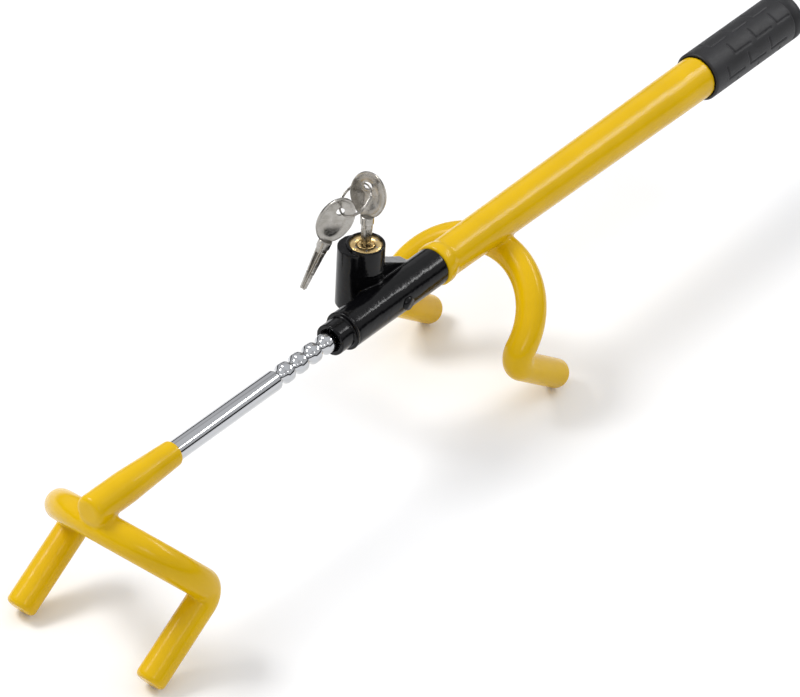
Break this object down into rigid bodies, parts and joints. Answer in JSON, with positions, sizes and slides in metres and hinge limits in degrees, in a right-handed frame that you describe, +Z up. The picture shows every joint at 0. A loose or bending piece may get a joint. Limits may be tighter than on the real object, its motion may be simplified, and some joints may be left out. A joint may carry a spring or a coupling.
{
  "type": "steering wheel lock",
  "caption": "Steering wheel lock: a notched sliding rod with a forked hook, a vinyl coated handle tube with a rear forked hook, a key lock and a rubber grip.",
  "frame": {"origin": "on the ground plane under the middle of the part's length, in its plane of symmetry of the hooks", "axes": "+X along the rod towards the grip, +Z up along the key, the prong tips stand on Z = 0"},
  "size_m": [0.6728, 0.1148, 0.1836],
  "materials": {
    "yellow_vinyl": "thick dip-moulded yellow vinyl, glossy, slightly uneven",
    "chromed_steel": "bright chrome plate on turned steel",
    "bare_steel": "plain steel bar and tube, hidden under vinyl or paint",
    "pin_steel": "small hardened steel lock parts",
    "guide_bronze": "sintered bronze, oiled",
    "black_rubber": "matt black rubber with a shallow moulded brick pattern",
    "black_plastic": "black moulded plastic",
    "black_enamel": "thick gloss black enamel on cast steel",
    "brass": "turned and faced brass",
    "nickel": "nickel plated brass, lightly scuffed"
  },
  "bodies": {
    "handle": {"main_tube": "bare_steel", "tube_coating": "yellow_vinyl", "rear_hook": "bare_steel", "rear_hook_coating": "yellow_vinyl", "grip": "black_rubber", "grip_end_plug": "black_plastic", "lock_housing": "black_enamel", "nose_bush": "bare_steel", "side_plug": "black_enamel", "housing_roll_pin": "bare_steel", "cylinder_grub_screw": "bare_steel", "bolt_channel_plug": "black_enamel", "cylinder_shell": "brass", "driver_pins": "pin_steel", "driver_springs": "pin_steel"},
    "carriage": {"guide_bush": "guide_bronze"},
    "rod": {"locking_rod": "chromed_steel", "rod_sleeve": "yellow_vinyl", "front_hook": "bare_steel", "front_hook_coating": "yellow_vinyl", "rod_circlip": "bare_steel"},
    "plug": {"cylinder_plug": "brass", "key_pins": "pin_steel", "plug_clip": "pin_steel", "plug_cam": "pin_steel", "cam_screw": "pin_steel"},
    "bolt": {"lock_bolt": "pin_steel"},
    "key": {"key_blade": "nickel", "key_bow": "nickel"},
    "ring": {"key_ring": "nickel"},
    "spare_key": {"spare_key_blade": "nickel", "spare_key_bow": "nickel"}
  },
  "joints": [
    {"name": "rod_slide", "type": "slide", "parent": "handle", "child": "carriage", "axis": [1, 0, 0], "range_m": [-0.108, 0.096]},
    {"name": "rod_spin", "type": "hinge", "parent": "carriage", "child": "rod", "pos_m": [-0.20958, 0, 0.0989], "axis": [1, 0, 0], "continuous": true},
    {"name": "plug_turn", "type": "hinge", "parent": "handle", "child": "plug", "pos_m": [-0.06978, 0.015, 0.0989], "axis": [0, 0, -1], "range_deg": [0, 90]},
    {"name": "bolt_throw", "type": "slide", "parent": "handle", "child": "bolt", "axis": [0, -1, 0], "range_m": [0, 0.003]},
    {"name": "key_withdraw", "type": "slide", "parent": "plug", "child": "key", "axis": [0, 0, 1], "range_m": [0, 0.024]},
    {"name": "ring_swing", "type": "hinge", "parent": "key", "child": "ring", "pos_m": [-0.0719, 0.02172, 0.17005], "axis": [-0.2522, 0.7999, -0.5446], "range_deg": [0, 45]},
    {"name": "spare_swing", "type": "hinge", "parent": "ring", "child": "spare_key", "pos_m": [-0.08462, 0.02313, 0.16018], "axis": [0.5837, 0.81, 0.0573], "range_deg": [-8, 60]}
  ],
  "couplings": [
    {"joint": "bolt_throw", "follows": "plug_turn", "m_per_rad": 0.0019099}
  ]
}
